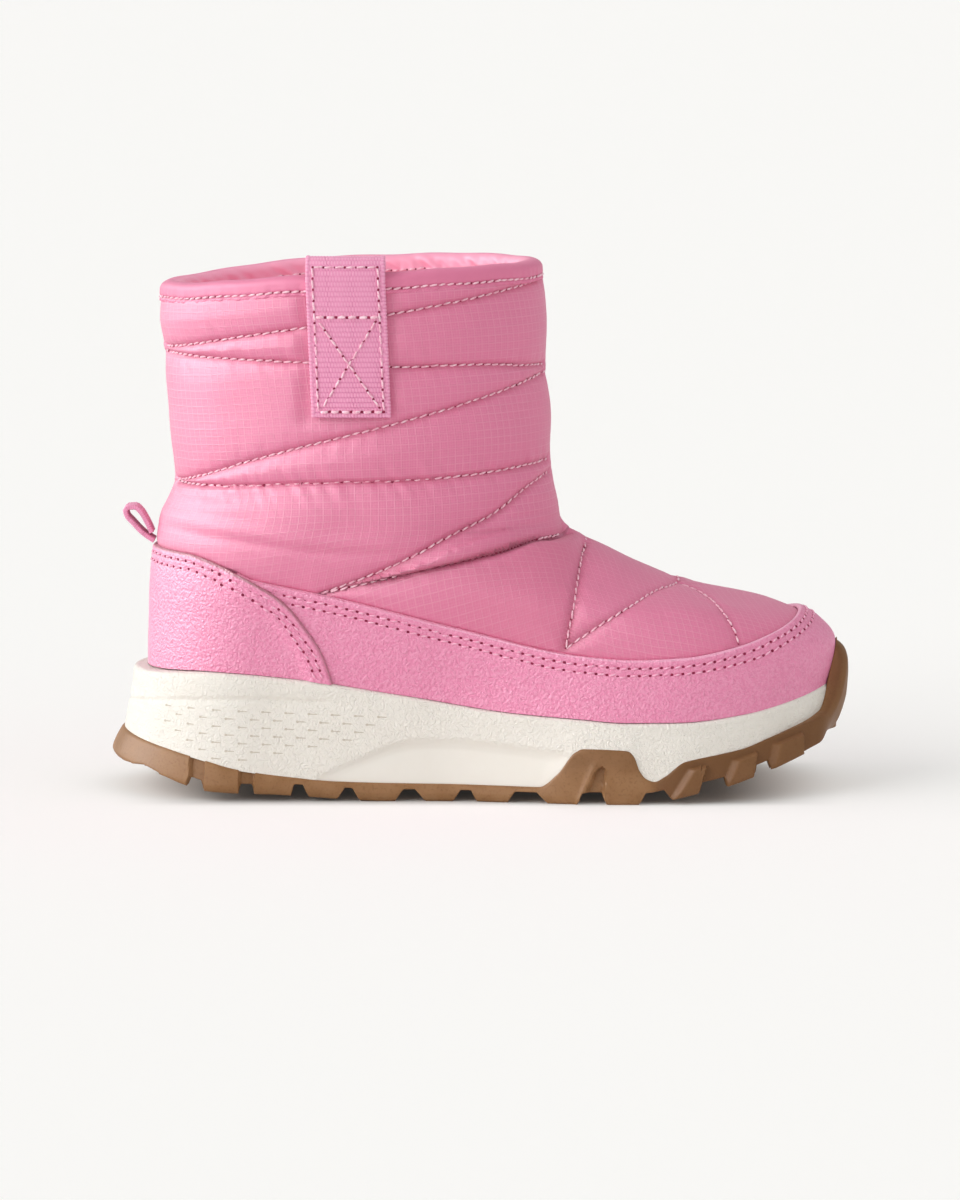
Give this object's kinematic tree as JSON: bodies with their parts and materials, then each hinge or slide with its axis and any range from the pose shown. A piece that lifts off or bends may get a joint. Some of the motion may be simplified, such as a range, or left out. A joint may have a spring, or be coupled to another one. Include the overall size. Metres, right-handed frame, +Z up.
{
  "type": "quilted snow boot",
  "caption": "Child's pull-on winter boot: hollow quilted shaft with webbing pull tab, leather mudguard and heel counter, foam midsole and lugged gum rubber outsole with toe bumper",
  "frame": {"origin": "on the floor under the middle of the boot's box", "axes": "+X from heel to toe, +Y towards the inner side of a right foot, +Z up"},
  "size_m": [0.2261, 0.0875, 0.1641],
  "materials": {
    "gum_rubber": "matt gum rubber",
    "midsole_foam": "off-white moulded foam with fine grain",
    "insole_fleece": "soft pile",
    "quilted_fabric": "ripstop weave over padding, stitched",
    "coated_leather": "pebbled, slightly glossy",
    "binding_tape": "smooth woven tape",
    "tab_webbing": "ribbed webbing",
    "loop_ribbon": "woven ribbon"
  },
  "bodies": {
    "root": {"outsole": "gum_rubber", "midsole": "midsole_foam", "insole": "insole_fleece", "upper": "quilted_fabric", "mudguard": "coated_leather", "heel_counter": "coated_leather", "collar_binding": "binding_tape", "pull_tab": "tab_webbing", "heel_loop": "loop_ribbon"}
  },
  "joints": []
}
